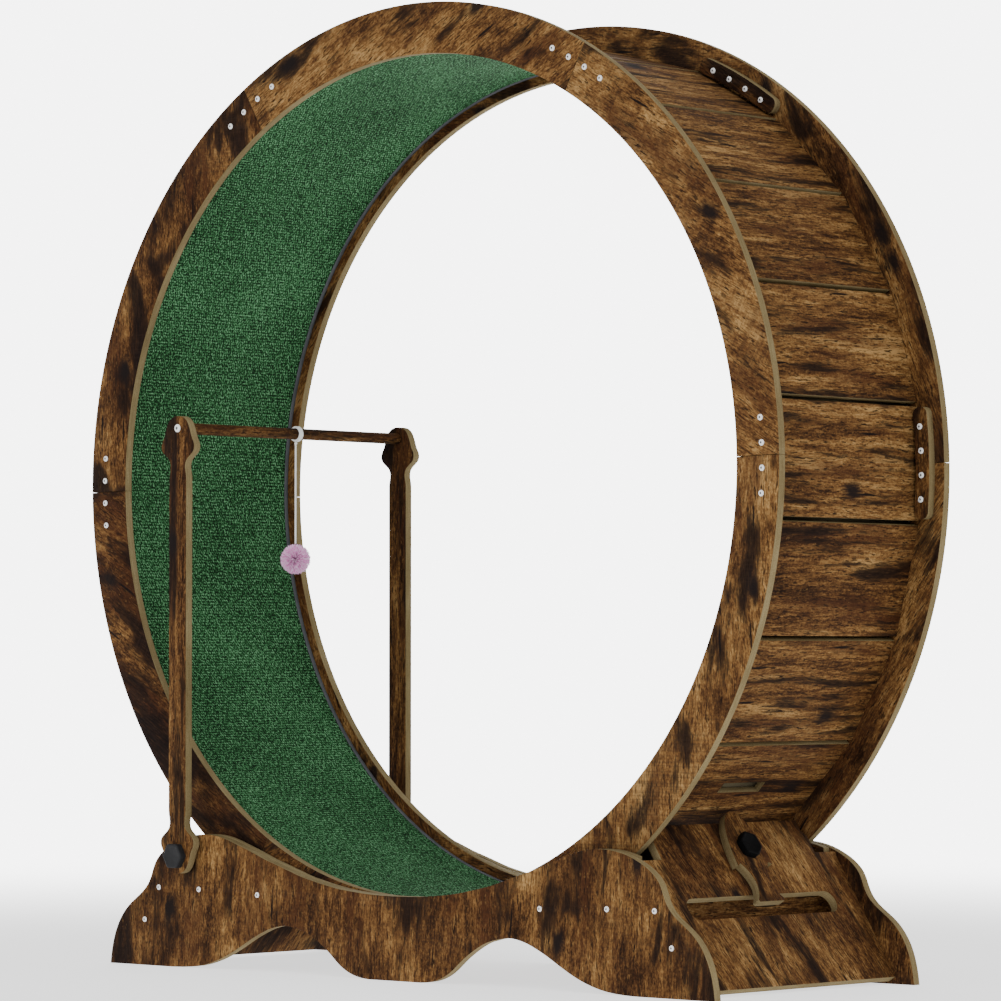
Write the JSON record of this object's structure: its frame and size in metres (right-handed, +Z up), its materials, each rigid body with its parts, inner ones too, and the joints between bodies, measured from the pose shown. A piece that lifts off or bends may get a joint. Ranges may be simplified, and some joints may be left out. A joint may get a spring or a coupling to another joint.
{
  "type": "cat exercise wheel",
  "caption": "Large wooden running wheel for a cat on grooved rollers between scalloped side panels, with a lined deck, a turning lock pawl and a tilting teaser toy.",
  "frame": {"origin": "on the floor under the middle of the wheel", "axes": "+X to the side with the lock pawl, +Y along the wheel's axis to the rear, +Z up"},
  "size_m": [1, 0.3724, 1.0319],
  "materials": {
    "ring_wood": "dark rustic wood face, tan sawn edges",
    "panel_wood": "dark rustic wood face with upright grain, tan sawn edges",
    "end_board_wood": "dark rustic wood face, tan sawn edges",
    "plank_wood": "dark rustic wood planks, grain along the axis",
    "plate_wood": "dark rustic wood face, tan sawn edges",
    "mat_fabric": "green loop pile with a grey bound edge",
    "screw_white": "white painted screw heads",
    "roller_black": "black moulded plastic",
    "bracket_black": "black powder coat",
    "axle_steel": "bright steel",
    "knob_black": "black moulded plastic",
    "nut_steel": "zinc plated steel",
    "spacer_white": "white nylon washer",
    "rod_wood": "dark rustic wood dowel",
    "slide_white": "white moulded ring",
    "string_white": "white cotton string",
    "pompom_pink": "pale lilac-pink pile ball"
  },
  "bodies": {
    "base": {"front_panel": "panel_wood", "rear_panel": "panel_wood", "right_ramp": "end_board_wood", "left_ramp": "end_board_wood", "front_roller_rail": "plate_wood", "rear_roller_rail": "plate_wood", "right_stretcher": "plate_wood", "left_stretcher": "plate_wood", "roller_bracket_front_right": "bracket_black", "roller_bracket_front_left": "bracket_black", "roller_bracket_rear_right": "bracket_black", "roller_bracket_rear_left": "bracket_black", "roller_axle_front_right": "axle_steel", "roller_axle_front_left": "axle_steel", "roller_axle_rear_right": "axle_steel", "roller_axle_rear_left": "axle_steel", "panel_screws": "screw_white", "pawl_nut": "nut_steel", "post_spacers": "spacer_white"},
    "wheel": {"front_ring_1": "ring_wood", "front_ring_2": "ring_wood", "front_ring_3": "ring_wood", "front_ring_4": "ring_wood", "front_ring_5": "ring_wood", "front_ring_6": "ring_wood", "rear_ring_1": "ring_wood", "rear_ring_2": "ring_wood", "rear_ring_3": "ring_wood", "rear_ring_4": "ring_wood", "rear_ring_5": "ring_wood", "rear_ring_6": "ring_wood", "deck_planks_1": "plank_wood", "deck_planks_2": "plank_wood", "deck_planks_3": "plank_wood", "deck_planks_4": "plank_wood", "deck_planks_5": "plank_wood", "deck_planks_6": "plank_wood", "running_mat": "mat_fabric", "front_joint_plates": "plate_wood", "rear_joint_plates": "plate_wood", "front_ring_bolts": "screw_white", "rear_ring_bolts": "screw_white"},
    "roller_front_right": {"roller_front_right": "roller_black"},
    "roller_front_left": {"roller_front_left": "roller_black"},
    "roller_rear_right": {"roller_rear_right": "roller_black"},
    "roller_rear_left": {"roller_rear_left": "roller_black"},
    "teaser_frame": {"front_post": "panel_wood", "rear_post": "panel_wood", "teaser_rod": "rod_wood", "rod_screws": "screw_white"},
    "front_post_knob": {"front_post_knob": "knob_black"},
    "rear_post_knob": {"rear_post_knob": "knob_black"},
    "slide_ring": {"slide_ring": "slide_white"},
    "teaser_drop": {"teaser_string": "string_white", "pompom": "pompom_pink"},
    "lock_pawl": {"lock_pawl": "end_board_wood"},
    "pawl_knob": {"pawl_knob": "knob_black"}
  },
  "joints": [
    {"name": "wheel_spin", "type": "hinge", "parent": "base", "child": "wheel", "pos_m": [0, 0, 0.5319], "axis": [0, 1, 0], "continuous": true},
    {"name": "roller_spin_front_right", "type": "hinge", "parent": "base", "child": "roller_front_right", "pos_m": [0.3045, -0.13335, 0.1128], "axis": [0, 1, 0], "continuous": true},
    {"name": "roller_spin_front_left", "type": "hinge", "parent": "base", "child": "roller_front_left", "pos_m": [-0.3045, -0.13335, 0.1128], "axis": [0, 1, 0], "continuous": true},
    {"name": "roller_spin_rear_right", "type": "hinge", "parent": "base", "child": "roller_rear_right", "pos_m": [0.3045, 0.13335, 0.1128], "axis": [0, 1, 0], "continuous": true},
    {"name": "roller_spin_rear_left", "type": "hinge", "parent": "base", "child": "roller_rear_left", "pos_m": [-0.3045, 0.13335, 0.1128], "axis": [0, 1, 0], "continuous": true},
    {"name": "teaser_tilt", "type": "hinge", "parent": "base", "child": "teaser_frame", "pos_m": [-0.318, 0, 0.1223], "axis": [0, 1, 0], "range_deg": [-12, 75]},
    {"name": "front_knob_turn", "type": "hinge", "parent": "base", "child": "front_post_knob", "pos_m": [-0.318, -0.1782, 0.1223], "axis": [0, 1, 0], "continuous": true},
    {"name": "rear_knob_turn", "type": "hinge", "parent": "base", "child": "rear_post_knob", "pos_m": [-0.318, 0.1782, 0.1223], "axis": [0, 1, 0], "continuous": true},
    {"name": "teaser_slide", "type": "slide", "parent": "teaser_frame", "child": "slide_ring", "axis": [0, 1, 0], "range_m": [-0.15, 0.143]},
    {"name": "teaser_swing", "type": "hinge", "parent": "slide_ring", "child": "teaser_drop", "pos_m": [-0.318, 0.0038, 0.5902], "axis": [0, 1, 0], "range_deg": [-50, 50]},
    {"name": "pawl_turn", "type": "hinge", "parent": "base", "child": "lock_pawl", "pos_m": [0.32703, 0.0039, 0.13694], "axis": [0.8447, 0, 0.5352], "range_deg": [-110, 110]},
    {"name": "pawl_knob_turn", "type": "hinge", "parent": "base", "child": "pawl_knob", "pos_m": [0.32703, 0.0039, 0.13694], "axis": [0.8447, 0, 0.5352], "continuous": true}
  ],
  "couplings": [
    {"joint": "roller_spin_front_right", "follows": "wheel_spin", "ratio": -27.778},
    {"joint": "roller_spin_front_left", "follows": "wheel_spin", "ratio": -27.778},
    {"joint": "roller_spin_rear_right", "follows": "wheel_spin", "ratio": -27.778},
    {"joint": "roller_spin_rear_left", "follows": "wheel_spin", "ratio": -27.778}
  ]
}
